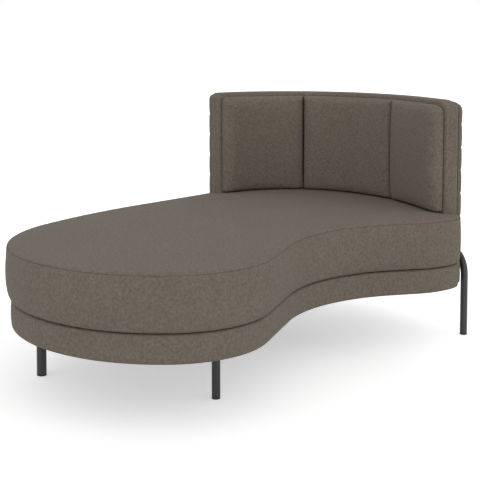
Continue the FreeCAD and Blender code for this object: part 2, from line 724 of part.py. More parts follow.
def make_leg(name, leg, diameter):
    """A tube leg with its glide and its plate, screwed up into the base."""
    plate_top = DUST_BOTTOM - SOFT_GAP
    plate_bottom = plate_top - PLATE_THICKNESS
    length = plate_bottom - GLIDE_HEIGHT
    foot = leg + UP * GLIDE_HEIGHT
    export(name + "_tube", cylinder(diameter, length, foot).cut(cylinder(diameter - 2 * TUBE_WALL, length, foot)))
    flange = rounded_box(PLATE_SIZE, PLATE_SIZE, PLATE_THICKNESS, PLATE_CORNER, leg + UP * plate_bottom)
    screws = []
    for point in screw_points(leg):
        under = point + UP * plate_bottom
        flange = flange.cut(cylinder(SCREW + 2 * FIT, PLATE_THICKNESS, under))
        head = cylinder(SCREW_HEAD, SCREW_HEAD_HEIGHT, under - UP * SCREW_HEAD_HEIGHT)
        bottom_edge = [edge for edge in head.Edges if edge.BoundBox.ZMax < plate_bottom - SCREW_HEAD_HEIGHT / 2]
        head = head.makeFillet(SCREW_HEAD_HEIGHT / 2, bottom_edge)
        screws.append(head.fuse(cylinder(SCREW, SCREW_LENGTH, under)).removeSplitter())
    export(name + "_plate", flange)
    export(name + "_glide", glide(leg, diameter))
    export(name + "_screws", Part.makeCompound(screws))


# Bolts that hold the back down on the deck, midway between its posts

def rail_bolt_points():
    offset = BAND_IN - BOLT_HEAD
    starts = post_starts()
    return [
        back_point((a + b + POST_WIDTH) / 2, offset)[0] for a, b in zip(starts, starts[1:])
    ]


def rail_bolt_holes():
    return Part.makeCompound([
        cylinder(BOLT + 2 * FIT, BACK_TOP, point) for point in rail_bolt_points()
    ])


def make_rail_bolts():
    top = DECK_TOP + SOFT_GAP + BOTTOM_RAIL_HEIGHT
    nut_bottom = DECK_BOTTOM - NUT_HEIGHT
    tip = nut_bottom - BOLT_TIP
    bolts = []
    nuts = []
    for point in rail_bolt_points():
        shank = cylinder(BOLT, top - tip, point + UP * tip)
        head = cylinder(BOLT_HEAD, BOLT_HEAD_HEIGHT, point + UP * top)
        bolts.append(shank.fuse(head).removeSplitter())
        nut = cylinder(BOLT_HEAD, NUT_HEIGHT, point + UP * nut_bottom)
        nuts.append(nut.cut(cylinder(BOLT + 2 * FIT, NUT_HEIGHT, point + UP * nut_bottom)))
    export("back_rail_bolts", Part.makeCompound(bolts))
    export("back_rail_nuts", Part.makeCompound(nuts))


def main():
    os.makedirs("parts", exist_ok=True)
    make_seat()
    make_base()
    make_rim()
    make_back_frame()
    make_quilt()
    make_channels()
    make_rear_frame()
    make_leg("foot_leg", FOOT_LEG, FOOT_TUBE)
    make_leg("front_leg", FRONT_LEG, TUBE)
    make_rail_bolts()


main()
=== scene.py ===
# %% [markdown]
# # A chaise longue, dressed
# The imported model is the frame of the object: boards, rails, tubes and bolts, with plain
# solids where the upholstery goes. This lesson does the upholsterer's part. It lays cushions,
# quilting and cloth over that frame, gives the wood and steel their finish, and sets up a
# small photo studio round it. Everything is in metres, and the frame never moves.

# %% Load the frame
import bpy
import json
import math
import numpy as np
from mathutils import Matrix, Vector
from mathutils.bvhtree import BVHTree
from mathutils.kdtree import KDTree

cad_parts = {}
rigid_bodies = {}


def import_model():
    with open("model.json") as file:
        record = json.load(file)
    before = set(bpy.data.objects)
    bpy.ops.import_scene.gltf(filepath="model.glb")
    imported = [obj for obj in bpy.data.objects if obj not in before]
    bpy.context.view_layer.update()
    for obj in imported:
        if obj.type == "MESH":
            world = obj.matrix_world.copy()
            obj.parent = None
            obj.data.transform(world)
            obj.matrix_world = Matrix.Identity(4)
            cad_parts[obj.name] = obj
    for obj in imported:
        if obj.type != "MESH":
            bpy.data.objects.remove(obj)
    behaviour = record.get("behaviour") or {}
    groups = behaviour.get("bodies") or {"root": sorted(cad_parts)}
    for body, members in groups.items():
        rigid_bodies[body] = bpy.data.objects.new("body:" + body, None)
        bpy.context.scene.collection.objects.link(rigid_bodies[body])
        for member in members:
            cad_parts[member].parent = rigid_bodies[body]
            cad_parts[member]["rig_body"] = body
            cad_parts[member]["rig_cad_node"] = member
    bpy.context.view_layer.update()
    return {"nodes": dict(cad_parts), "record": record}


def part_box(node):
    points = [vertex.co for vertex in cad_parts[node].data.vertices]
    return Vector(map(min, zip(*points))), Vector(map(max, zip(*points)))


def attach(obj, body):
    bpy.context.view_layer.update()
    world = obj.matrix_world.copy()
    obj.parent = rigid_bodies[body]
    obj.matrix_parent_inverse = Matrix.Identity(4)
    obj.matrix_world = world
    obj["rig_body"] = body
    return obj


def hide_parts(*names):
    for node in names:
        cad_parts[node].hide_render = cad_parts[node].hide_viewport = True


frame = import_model()
nodes = frame["nodes"]

# %% [markdown]
# ## The camera
# The photograph is taken from beyond the foot end, about a metre above the floor, with a
# long lens. The legs stand almost parallel in it, so the camera leans only a little and a
# lens shift does the rest, as with a view camera.

# %% Place the camera
EYE = (-2.744, -2.3228, 1.0491)
LEAN, TURN = 4.5, 49.88       # degrees down, and round towards the head end
LENS, SHIFT = 81.875, -0.2492
bpy.ops.object.select_all(action="DESELECT")
bpy.ops.object.camera_add(location=EYE, rotation=(math.radians(90 - LEAN), 0, math.radians(-TURN)))
camera = bpy.context.object
camera.data.lens = LENS
camera.data.shift_y = SHIFT
bpy.context.scene.camera = camera
print("camera lens", round(camera.data.lens, 1), "mm, shift", camera.data.shift_y)

# %% [markdown]
# ## The line everything follows
# Seat, base and back share one kidney-shaped line in plan. An upholsterer would draw it on
# the floor from tangent arcs and straights, so it is walked here in the same way: each step
# is a radius with a turn in degrees, or a straight. Two straights are left open and solved
# so that the line closes. A fine table of its points then answers every question about it.

# %% Walk the outline
STEPS = [
    "rear", (2.170, 13.2), (0.525, 91.6), (0.457, 27.8), (0.302, 69.9), "lobe",
    (0.489, -58.6), 0.085, (0.288, 33.9), (0.093, 59.7), 0.202, (0.787, 29.9),
]
BACK_STEP = 10                # the backrest starts with the straight head side
PACE = 0.001                  # distance between the points of the table


def heading_vector(angle):
    return np.array([math.cos(angle), math.sin(angle)])


def left_vector(angle):
    return np.array([-math.sin(angle), math.cos(angle)])


def solved_steps():
    """All steps as (radius or None, turn in radians or length)."""
    turned = sum(step[1] for step in STEPS if isinstance(step, tuple))
    steps = STEPS + [(0.422, 360.0 - turned)]
    angle, reach, ways = math.pi, np.zeros(2), {}
    for step in steps:
        if isinstance(step, tuple):
            turn = math.radians(step[1])
            arm = math.copysign(step[0], turn)
            reach = reach + arm * (left_vector(angle) - left_vector(angle + turn))
            angle += turn
        elif isinstance(step, str):
            ways[step] = heading_vector(angle)
        else:
            reach = reach + heading_vector(angle) * step
    open_lengths = np.linalg.solve(np.column_stack([ways["rear"], ways["lobe"]]), -reach)
    lengths = dict(zip(("rear", "lobe"), open_lengths))
    solved = []
    for step in steps:
        if isinstance(step, tuple):
            solved.append((step[0], math.radians(step[1])))
        else:
            solved.append((None, lengths.get(step, step)))
    return solved


def walk():
    """Points, headings and distances along the closed outline, about PACE apart."""
    point, angle, travelled = np.zeros(2), math.pi, 0.0
    points, angles, ways, starts = [], [], [], []
    for radius, amount in solved_steps():
        starts.append(travelled)
        length = amount if radius is None else radius * abs(amount)
        for share in np.linspace(0, 1, int(length / PACE), endpoint=False):
            if radius is None:
                points.append(point + heading_vector(angle) * length * share)
                angles.append(angle)
            else:
                arm = math.copysign(radius, amount)
                turned = angle + amount * share
                points.append(point + arm * (left_vector(angle) - left_vector(turned)))
                angles.append(turned)
            ways.append(travelled + length * share)
        if radius is None:
            point = point + heading_vector(angle) * length
        else:
            arm = math.copysign(radius, amount)
            point = point + arm * (left_vector(angle) - left_vector(angle + amount))
            angle += amount
        travelled += length
    return np.array(points), np.array(angles), np.array(ways), starts, travelled


line_points, line_angles, line_ways, line_starts, LINE_LENGTH = walk()
print("outline", round(LINE_LENGTH, 3), "m,", len(line_points), "points")

# %% [markdown]
# The line is drawn from its own start, so it is moved until its box matches the base cover,
# which runs all the way round at a fixed distance inside it.

# %% Put the outline on the frame
BASE_INSET = 0.014
outward = np.column_stack([np.sin(line_angles), -np.cos(line_angles)])
inset_line = line_points - outward * BASE_INSET
base_low, base_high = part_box("base_cover")
line_points += np.array([base_low.x, base_low.y]) - inset_line.min(0)
BACK_START = line_starts[BACK_STEP]
BACK_END = LINE_LENGTH - BACK_START - BASE_INSET
BEHIND = 1.0                  # up to this far before the back's start a distance is negative

finder = KDTree(len(line_points))
for number, place in enumerate(line_points):
    finder.insert((place[0], place[1], 0), number)
finder.balance()


def on_line(way, offset):
    """Plan points at distances along the back, moved outwards by offsets."""
    way, offset = np.broadcast_arrays(np.asarray(way, float), np.asarray(offset, float))
    travelled = np.mod(way + BACK_START, LINE_LENGTH)
    spots = np.append(line_ways, LINE_LENGTH)
    x = np.interp(travelled, spots, np.append(line_points[:, 0], line_points[0, 0]))
    y = np.interp(travelled, spots, np.append(line_points[:, 1], line_points[0, 1]))
    angle = np.interp(travelled, spots, np.append(line_angles, line_angles[0] + 2 * math.pi))
    return np.stack([x + np.sin(angle) * offset, y - np.cos(angle) * offset], -1)


def from_line(co):
    """For plan points: the distance along the back and the offset outwards."""
    nearest = np.array([finder.find((x, y, 0))[1] for x, y in co[:, :2]])
    gap = co[:, :2] - line_points[nearest]
    forward = np.column_stack([np.cos(line_angles[nearest]), np.sin(line_angles[nearest])])
    way = line_ways[nearest] + (gap * forward).sum(1) - BACK_START
    return np.mod(way + BEHIND, LINE_LENGTH) - BEHIND, (gap * outward[nearest]).sum(1)


print("backrest", round(BACK_END, 3), "m round, corner at", on_line(0, 0).round(3))

# %% [markdown]
# ## Helpers for shaping
# Each soft piece starts as a primitive or a copy of its solid, and ends as a mesh whose points
# are moved by rules. These helpers select one object, read and write its points, and lay
# a cloth map on it, in metres, so that a weave has the same scale on every piece.

# %% Mesh helpers
LEVEL = 0.7                   # a face lies flat when its normal's upright part is more than this


def only(obj):
    """Selects one object and makes it active."""
    bpy.ops.object.select_all(action="DESELECT")
    obj.select_set(True)
    bpy.context.view_layer.objects.active = obj
    return obj


def read_points(obj):
    """All points of a mesh, one row each."""
    co = np.empty(len(obj.data.vertices) * 3)
    obj.data.vertices.foreach_get("co", co)
    return co.reshape(-1, 3)


def write_points(obj, co):
    """Puts the points back."""
    obj.data.vertices.foreach_set("co", np.ascontiguousarray(co, float).ravel())
    obj.data.update()


def close_and_face_out(obj, gap=1e-5):
    """Merges doubled points and turns all faces outwards."""
    only(obj)
    bpy.ops.object.mode_set(mode="EDIT")
    bpy.ops.mesh.select_all(action="SELECT")
    bpy.ops.mesh.remove_doubles(threshold=gap)
    bpy.ops.mesh.normals_make_consistent(inside=False)
    bpy.ops.object.mode_set(mode="OBJECT")
    bpy.ops.object.shade_smooth()


def remesh(obj, size):
    """Rebuilds a closed form from even squares."""
    only(obj)
    obj.data.remesh_voxel_size = size
    bpy.ops.object.voxel_remesh()


def finer(obj):
    """One applied level of subdivision."""
    only(obj)
    bpy.ops.object.modifier_add(type="SUBSURF")
    smooth = obj.modifiers[-1]
    smooth.levels = smooth.render_levels = 1
    bpy.ops.object.modifier_apply(modifier=smooth.name)


def lay_weave(obj, flat, bends=True):
    """A cloth map in metres. flat holds each point's place along the piece, across it
    and up; each face takes the two directions that it lies in."""
    mesh = obj.data
    normal = np.empty(len(mesh.polygons) * 3)
    mesh.polygons.foreach_get("normal", normal)
    normal = np.abs(normal.reshape(-1, 3))
    corners = np.empty(len(mesh.polygons), int)
    mesh.polygons.foreach_get("loop_total", corners)
    facing = normal.argmax(1) if bends else np.where(normal[:, 2] > LEVEL, 2, 1)
    facing = np.repeat(facing, corners)
    index = np.empty(len(mesh.loops), int)
    mesh.loops.foreach_get("vertex_index", index)
    place = flat[index]
    first = np.where(facing == 0, place[:, 1], place[:, 0])
    second = np.where(facing == 2, place[:, 1], place[:, 2])
    layer = mesh.uv_layers.get("weave") or mesh.uv_layers.new(name="weave")
    layer.uv.foreach_set("vector", np.column_stack([first, second]).ravel())


# %% [markdown]
# ## Filling a cushion
# A cushion gets its look from filling that pushes on the cloth from inside. Blender's cloth
# can do that with pressure and no gravity. How far a point may travel is capped, because the
# real cover is sewn to size. A quick pass only moves the faces out a little.

# %% Fill with pressure
FRAMES = 20


def fill(obj, pressure, cap):
    """Swells a closed form, each point by the cap at most."""
    start = read_points(obj)
    only(obj)
    bpy.ops.object.modifier_add(type="CLOTH")
    cloth = obj.modifiers[-1]
    cloth.settings.quality = 4
    cloth.settings.use_pressure = True
    cloth.settings.uniform_pressure_force = pressure
    cloth.settings.effector_weights.gravity = 0
    cloth.point_cache.frame_end = FRAMES
    for number in range(1, FRAMES + 1):
        bpy.context.scene.frame_set(number)
    bpy.ops.object.modifier_apply(modifier=cloth.name)
    bpy.context.scene.frame_set(1)
    moved = read_points(obj) - start
    far = np.maximum(np.linalg.norm(moved, axis=1, keepdims=True), 1e-9)
    write_points(obj, start + moved / far * cap * np.tanh(far / cap))
    print(obj.name, "filled, mean travel", round(float(far.mean()) * 1000, 1), "mm")


print("filling runs", FRAMES, "frames")

# %% [markdown]
# ## The seat cushion
# The real cushion is a slab of firm foam with a softer layer on top, in a cover that is
# drawn in where it meets the base and sewn to a flat top along one seam. The form starts
# from the two foam solids of the frame, remeshed as one. Its side and its crown
# are then set by rule, so that the seam stays sharp, and the filling softens them.

# %% Copy the foam and remesh it
SEAT_BOTTOM, SEAM, SEAT_TOP = 0.2743, 0.429, 0.4393
SEAT_VOXEL = 0.009
OVERLAP = 0.003               # the core is raised into the topper, so that they become one


def copy_of(name, *sources):
    """A joined, merged copy of nodes of the frame."""
    bpy.ops.object.select_all(action="DESELECT")
    for source in sources:
        copy = nodes[source].copy()
        copy.data = nodes[source].data.copy()
        copy.parent = None
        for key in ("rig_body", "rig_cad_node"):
            if key in copy:
                del copy[key]
        bpy.context.collection.objects.link(copy)
        copy.select_set(True)
        bpy.context.view_layer.objects.active = copy
    if len(sources) > 1:
        bpy.ops.object.join()
    obj = bpy.context.object
    obj.name = obj.data.name = name
    obj.data.materials.clear()
    close_and_face_out(obj)
    return obj


seat = copy_of("seat_cushion", "seat_foam_core", "seat_topper")
co = read_points(seat)
core_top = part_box("seat_foam_core")[1].z
co[np.abs(co[:, 2] - core_top) < 1e-4, 2] += OVERLAP
write_points(seat, co)
remesh(seat, SEAT_VOXEL)
print("seat cushion", len(seat.data.vertices), "points after the remesh")

# %% [markdown]
# The rules: below the seam a point belongs to the side, whose offset depends on its height.
# Above it the crown rises with the distance from the edge. The notch for the backrest
# is kept free, and where the cushion rests on the base it is flat.

# %% Set side, crown and notch
RIM_IN = -0.060               # the shell's inner face, as an offset from the outline
CLEAR = 0.0004                # air round the shell
ROLL_HIGH, ROLL_WIDE = 0.0052, 0.005
RISE_HIGH, RISE_WIDE = 0.005, 0.09
SIDE_SWELL, SIDE_TUCK = 0.012, 0.012
SKIN, TOP_SKIN = 0.006, 0.008     # points this near to a face belong to it
NOTCH_EDGE = 0.003
SEAM_EDGE, SEAM_LIP = 0.0005, 0.0006      # points this near the edge rise no more than this
SETTLE = 0.0026               # how far low points sink, down to the base at most


def crown(inward):
    """Height over the seam: a quick roll at the edge and then a long, shallow rise."""
    roll = ROLL_HIGH * (1 - np.exp(-inward / ROLL_WIDE))
    return roll + RISE_HIGH * (1 - np.exp(-inward / RISE_WIDE))


def side_offset(z):
    """How far the side stands out: a shallow swell, tucked in sharply at the bottom."""
    share = np.clip((z - SEAT_BOTTOM) / (SEAM - SEAT_BOTTOM), 0, 1)
    return SIDE_SWELL * share * (1 - share) - SIDE_TUCK * (1 - share) ** 12


def keep_off_back(co, way, offset):
    """Moves points out of the space that the backrest stands in."""
    inside = (offset > RIM_IN - CLEAR) & (way > -CLEAR) & (way < BACK_END + CLEAR)
    to_front = np.abs(offset - (RIM_IN - CLEAR))
    to_start, to_stop = np.abs(way + CLEAR), np.abs(way - BACK_END - CLEAR)
    nearest = np.argmin([to_front, to_start, to_stop], 0)
    offset = np.where(inside & (nearest == 0), RIM_IN - CLEAR, offset)
    way = np.where(inside & (nearest == 1), -CLEAR, way)
    way = np.where(inside & (nearest == 2), BACK_END + CLEAR, way)
    co[inside, :2] = on_line(way[inside], offset[inside])
    return co


def shape_seat(obj):
    """Sets every point of the remeshed foam by the rules."""
    co = read_points(obj)
    way, offset = from_line(co)
    edge = side_offset(co[:, 2])
    near_side = (offset > edge - SKIN) & (co[:, 2] > SEAT_BOTTOM + 0.001)
    near_side &= ~((way > -NOTCH_EDGE) & (way < BACK_END + NOTCH_EDGE))
    offset = np.where(near_side, edge, offset)
    co[near_side, :2] = on_line(way[near_side], offset[near_side])
    top = co[:, 2] > SEAM - TOP_SKIN
    inward = np.clip(-offset, 0, 1)
    rise = SEAM + crown(inward)
    at_seam = np.minimum(co[top, 2], SEAM + SEAM_LIP)
    co[top, 2] = np.where(inward[top] > SEAM_EDGE, rise[top], at_seam)
    low = co[:, 2] < SEAT_BOTTOM + SKIN
    co[low, 2] = np.maximum(SEAT_BOTTOM, co[low, 2] - SETTLE)
    write_points(obj, keep_off_back(co, way, offset))


shape_seat(seat)
co = read_points(seat)
print("seat from", co.min(0).round(3), "to", co.max(0).round(3))

# %% [markdown]
# The cushion is filled, and one level of subdivision smooths it. Beside the back its
# corner is drawn in until it runs in one line with the shell's end, as it does in the
# photograph. After that it has to fit again: flat on the base, clear of the shell, and no
# higher under the inner cushion than the frame allows. Towards the foot end it may rise a
# little more.

# %% Fill it and smooth it
SEAT_PRESSURE, SEAT_CAP = 1.0, 0.0012
DRAWN_IN, DRAWN_AT, DRAWN_WIDE, DRAWN_DEEP = 0.009, -0.03, 0.05, 0.1
UNDER_PADS = 0.13             # the inner cushion rests on the seat no further in than this
FOOT_RISE, RISE_FROM, RISE_OVER = 0.002, 0.1, 0.3


def draw_in_corner(co, way, offset):
    """Draws the cushion's corner beside the back in, flush with the shell's end."""
    bell = np.exp(-((way - DRAWN_AT) / DRAWN_WIDE) ** 2)
    pull = -DRAWN_IN * bell * np.clip(1 + offset / DRAWN_DEEP, 0, 1)
    near = pull < -1e-5
    offset = offset + pull
    co[near, :2] = on_line(way[near], offset[near])
    return co, way, offset


fill(seat, SEAT_PRESSURE, SEAT_CAP)
finer(seat)
co = read_points(seat)
co, way, offset = draw_in_corner(co, *from_line(co))
co = keep_off_back(co, way, offset)
foot_rise = FOOT_RISE * np.clip((RISE_FROM - co[:, 0]) / RISE_OVER, 0, 1)
co[:, 2] = np.clip(co[:, 2], SEAT_BOTTOM, SEAT_TOP + foot_rise)
under_pads = (way > 0) & (way < BACK_END) & (offset > -UNDER_PADS)
co[under_pads, 2] = np.minimum(co[under_pads, 2], SEAT_TOP)
write_points(seat, co)
print("seat cushion", len(seat.data.polygons), "faces")

# %% [markdown]
# The cushion's cover has two kinds of cloth pieces, and so has its map: the top and bottom
# panels lie flat in plan, and the side band runs along the outline. Where the outline
# closes, the corners of one face must not jump from its end to its start.

# %% Map the cushion's cloth
def map_seat_cloth(obj, co, way):
    """Panels in plan, and the band along the outline."""
    mesh = obj.data
    lay_weave(obj, co, bends=False)
    layer = mesh.uv_layers["weave"].uv
    uv = np.empty(len(layer) * 2)
    layer.foreach_get("vector", uv)
    uv = uv.reshape(-1, 2)
    index = np.empty(len(mesh.loops), int)
    mesh.loops.foreach_get("vertex_index", index)
    steep = np.empty(len(mesh.polygons) * 3)
    mesh.polygons.foreach_get("normal", steep)
    corners = np.empty(len(mesh.polygons), int)
    mesh.polygons.foreach_get("loop_total", corners)
    on_band = np.repeat(np.abs(steep.reshape(-1, 3)[:, 2]) < LEVEL, corners)
    along = way[index]
    starts = np.repeat(along[np.r_[0, np.cumsum(corners)[:-1]]], corners)
    along = along + LINE_LENGTH * np.round((starts - along) / LINE_LENGTH)
    uv[on_band] = np.column_stack([along, co[index, 2]])[on_band]
    layer.foreach_set("vector", uv.ravel())


map_seat_cloth(seat, co, way)
close_and_face_out(seat)
print("cloth map on", len(seat.data.loops), "corners")

# %% [markdown]
# ## The seam round the seat's top
# Top panel and side band are sewn together along one plain seam, which shows as a fine dark
# line. A thin cord lies in the surface there, coloured dark as painted shade for the seam's
# crease. A grid is rolled into a tube along a path of points that a ray finds on the finished
# cushion, so the seam never floats.

# %% Tube helper
CORD_ROUND = 0.01             # what the cloth map counts as once round a cord


def tube(name, path, radius, sides=8):
    """A closed tube through points, with the cloth map running along it."""
    bpy.ops.object.select_all(action="DESELECT")
    count = len(path) - 1
    bpy.ops.mesh.primitive_grid_add(x_subdivisions=count, y_subdivisions=sides, size=1)
    obj = bpy.context.object
    obj.name = obj.data.name = name
    flat = read_points(obj)
    row = np.rint((flat[:, 0] + 0.5) * count).astype(int)
    turn = (flat[:, 1] + 0.5) * 2 * math.pi
    way = np.gradient(path, axis=0)
    way /= np.linalg.norm(way, axis=1, keepdims=True)
    side = np.cross(way, (0.0, 0.0, 1.0))
    side /= np.linalg.norm(side, axis=1, keepdims=True)
    up = np.cross(side, way)
    ends = np.where((row == 0) | (row == count), 0.02, 1.0)[:, None]
    ring = side[row] * np.cos(turn)[:, None] + up[row] * np.sin(turn)[:, None]
    write_points(obj, path[row] + ring * radius * ends)
    travelled = np.r_[0, np.cumsum(np.linalg.norm(np.diff(path, axis=0), axis=1))]
    index = np.empty(len(obj.data.loops), int)
    obj.data.loops.foreach_get("vertex_index", index)
    layer = obj.data.uv_layers.new(name="weave")
    uv = np.column_stack([travelled[row], turn / (2 * math.pi) * CORD_ROUND])[index]
    layer.uv.foreach_set("vector", uv.ravel())
    close_and_face_out(obj)
    return obj


SEAM_STEP, SEAM_RADIUS, RAY_START = 0.008, 0.0009, 0.03
SEAM_FROM, SEAM_TO = BACK_END + 0.006, LINE_LENGTH - 0.004
SEAM_DOWN, SEAM_OUT = 0.0005, 0.0001      # the cord lies this far under the edge, and proud
seat_tree = BVHTree.FromObject(seat, bpy.context.evaluated_depsgraph_get())
seam_path = []
for way_on in np.arange(SEAM_FROM, SEAM_TO, SEAM_STEP):
    outside = on_line(way_on, RAY_START)
    inside = on_line(way_on, -RAY_START)
    start = Vector((outside[0], outside[1], SEAM - SEAM_DOWN))
    toward = Vector((inside[0] - outside[0], inside[1] - outside[1], 0)).normalized()
    hit = seat_tree.ray_cast(start, toward, 2 * RAY_START)[0]
    if hit is not None:
        seam_path.append(hit - toward * SEAM_OUT)
seat_seam = tube("seat_seam", np.array(seam_path), SEAM_RADIUS)
print("seam through", len(seam_path), "points")

# %% [markdown]
# ## The base's upholstery
# Under the cushion a thinner slab repeats its outline, drawn in by 14 mm, with cloth pulled
# over a foam strip and turned in underneath. A primitive grid is wrapped round the line:
# its columns follow the outline and its rows follow the cloth's section, from the turned-in
# edge below, over the rounded corner, up the side and in under the cushion.

# %% Grid wrapped on the line
def wrap(name, columns, section, swell=None):
    """A ring round the whole outline. The section is a closed list of (offset, z)."""
    bpy.ops.object.select_all(action="DESELECT")
    rows = len(section)
    bpy.ops.mesh.primitive_grid_add(x_subdivisions=columns, y_subdivisions=rows, size=1)
    obj = bpy.context.object
    obj.name = obj.data.name = name
    flat = read_points(obj)
    way = (flat[:, 0] + 0.5) * LINE_LENGTH
    row = np.rint((flat[:, 1] + 0.5) * rows).astype(int) % rows
    offset, z = section[row, 0].copy(), section[row, 1]
    if swell is not None:
        offset += swell(way, row)
    write_points(obj, np.column_stack([on_line(way, offset), z]))
    walked = np.r_[0, np.cumsum(np.linalg.norm(np.diff(section, axis=0), axis=1))]
    index = np.empty(len(obj.data.loops), int)
    obj.data.loops.foreach_get("vertex_index", index)
    layer = obj.data.uv_layers.new(name="weave")
    full = np.append(walked, walked[-1] + np.linalg.norm(section[0] - section[-1]))
    true_row = np.rint((flat[:, 1] + 0.5) * rows).astype(int)
    layer.uv.foreach_set("vector", np.column_stack([way, full[true_row]])[index].ravel())
    close_and_face_out(obj)
    return obj


ROUND_LOW, ROUND_HIGH = 0.008, 0.007      # radii of the base's lower and upper edge
base_bottom, base_top = base_low.z, base_high.z
under = [(-0.035, base_bottom + 0.0018), (-0.030, base_bottom + 0.0004), (-0.026, base_bottom)]
corner = [
    (-BASE_INSET - ROUND_LOW * (1 - math.sin(turn)), base_bottom + ROUND_LOW * (1 - math.cos(turn)))
    for turn in np.linspace(0, math.pi / 2, 7)
]
straight = base_top - base_bottom - ROUND_LOW - ROUND_HIGH
side = [(-BASE_INSET, base_bottom + ROUND_LOW + straight * share)
        for share in (0.1, 0.25, 0.4, 0.55, 0.7, 0.85, 1.0)]
roll = [
    (-BASE_INSET - ROUND_HIGH * (1 - math.cos(turn)),
     base_top - ROUND_HIGH + (ROUND_HIGH - 0.0001) * math.sin(turn))
    for turn in np.linspace(0, math.pi / 2, 6)[1:]
]
inner = [(-0.0235, base_top), (-0.0235, base_bottom + 0.03), (-0.0225, base_bottom + 0.012),
         (-0.035, base_bottom + 0.004)]
base_section = np.array(under + corner + side + roll + inner)
BASE_SWELL, SWELL_START, SWELL_RAMP = 0.003, 0.02, 0.08


def base_swell(way, row):
    """The padded side stands a little proud between its edges, except behind the back."""
    z = base_section[row, 1]
    share = np.clip((z - base_bottom) / (base_top - base_bottom), 0, 1)
    outer = base_section[row, 0] > -BASE_INSET - 0.0015
    after_back = np.clip((way - BACK_END - SWELL_START) / SWELL_RAMP, 0, 1)
    before_back = np.clip((LINE_LENGTH - SWELL_START - way) / SWELL_RAMP, 0, 1)
    swell = BASE_SWELL * np.sin(math.pi * share) ** 0.7
    return np.where(outer, swell * after_back * before_back, 0.0)


base = wrap("base_upholstery", 900, base_section, base_swell)
print("base upholstery", len(base.data.polygons), "faces")

# %% [markdown]
# ## The backrest, shaped flat and then bent
# It is far easier to shape a straight back and bend it afterwards. X is the distance along
# the outline, Y the offset outwards and Z the height. bend() then moves every point to its
# place on the line. The cloth map is laid before the bend, so the weave bends too.

# %% Box and bend helpers
def soft_box(name, low, high, round_off, size):
    """A box with rounded edges, rebuilt from even squares."""
    low, high = Vector(low), Vector(high)
    bpy.ops.object.select_all(action="DESELECT")
    bpy.ops.mesh.primitive_cube_add(size=1, location=(low + high) / 2, scale=high - low)
    obj = bpy.context.object
    obj.name = obj.data.name = name
    bpy.ops.object.transform_apply(location=True, rotation=True, scale=True)
    bpy.ops.object.mode_set(mode="EDIT")
    bpy.ops.mesh.select_all(action="SELECT")
    bpy.ops.mesh.bevel(offset=round_off, segments=5, affect="EDGES")
    bpy.ops.object.mode_set(mode="OBJECT")
    remesh(obj, size)
    return obj


def bend(obj):
    """Maps the cloth and moves a straight piece on to the outline."""
    co = read_points(obj)
    lay_weave(obj, co)
    write_points(obj, np.column_stack([on_line(co[:, 0], co[:, 1]), co[:, 2]]))
    close_and_face_out(obj)
    return obj


def round_corner(co, end, top, wide, high, way):
    """Draws a square upper corner in to an elliptical one. way is -1 for the corner at
    the start of the back and 1 for the one at its end."""
    right = (co[:, 0] - end) * way / wide + 1
    up = (co[:, 2] - top) / high + 1
    there = (right > 0) & (up > 0)
    share = np.maximum(right, up) / np.maximum(np.hypot(right, up), 1e-9)
    co[there, 0] = end + way * wide * (right * share - 1)[there]
    co[there, 2] = top + high * (up * share - 1)[there]
    return co


BACK_TOP = 0.824
print("back from", 0, "to", round(BACK_END, 3), "along the line")

# %% [markdown]
# ## The padded rim
# The shell's edge is a plain padded band that shows at both ends and along the top, with soft
# edges and rounder upper corners. A bevelled box gives that form, and its corners are then
# drawn in. It reaches down beside the cushion and behind the inner cushion, as the real
# shell does.

# %% Rim
RIM_OUT = -0.0064
RIM_ROUND, RIM_VOXEL, RIM_CROWN = 0.011, 0.008, 0.0012
RIM_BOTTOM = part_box("back_rim_cover")[0].z
FIRST_CORNER, LAST_CORNER = (0.070, 0.034), (0.024, 0.022)    # width and height of the rounding
rim = soft_box("back_rim", (0, RIM_IN, RIM_BOTTOM), (BACK_END, RIM_OUT, BACK_TOP),
               RIM_ROUND, RIM_VOXEL)
co = read_points(rim)
crowned = RIM_CROWN * np.sin(np.pi * np.clip((co[:, 1] - RIM_IN) / (RIM_OUT - RIM_IN), 0, 1))
co[:, 2] += np.where(co[:, 2] > BACK_TOP - 0.002, crowned - RIM_CROWN / 3, 0)
co = round_corner(co, 0, BACK_TOP, *FIRST_CORNER, -1)
co = round_corner(co, BACK_END, BACK_TOP, *LAST_CORNER, 1)
write_points(rim, co)
finer(rim)
bend(rim)
print("rim", len(rim.data.polygons), "faces")

# %% [markdown]
# ## The inner cushion's three channels
# Inside the shell sits one cushion that two upright seams draw into three full channels. Each
# channel starts as a rounded box in its own place, gets its crown by rule, and is
# then filled with pressure. Where two channels meet, a wall stops both, which makes the deep
# narrow crease of a sewn channel. The crease tapers off towards the upper edge, and the
# cushion's free ends are rounded.

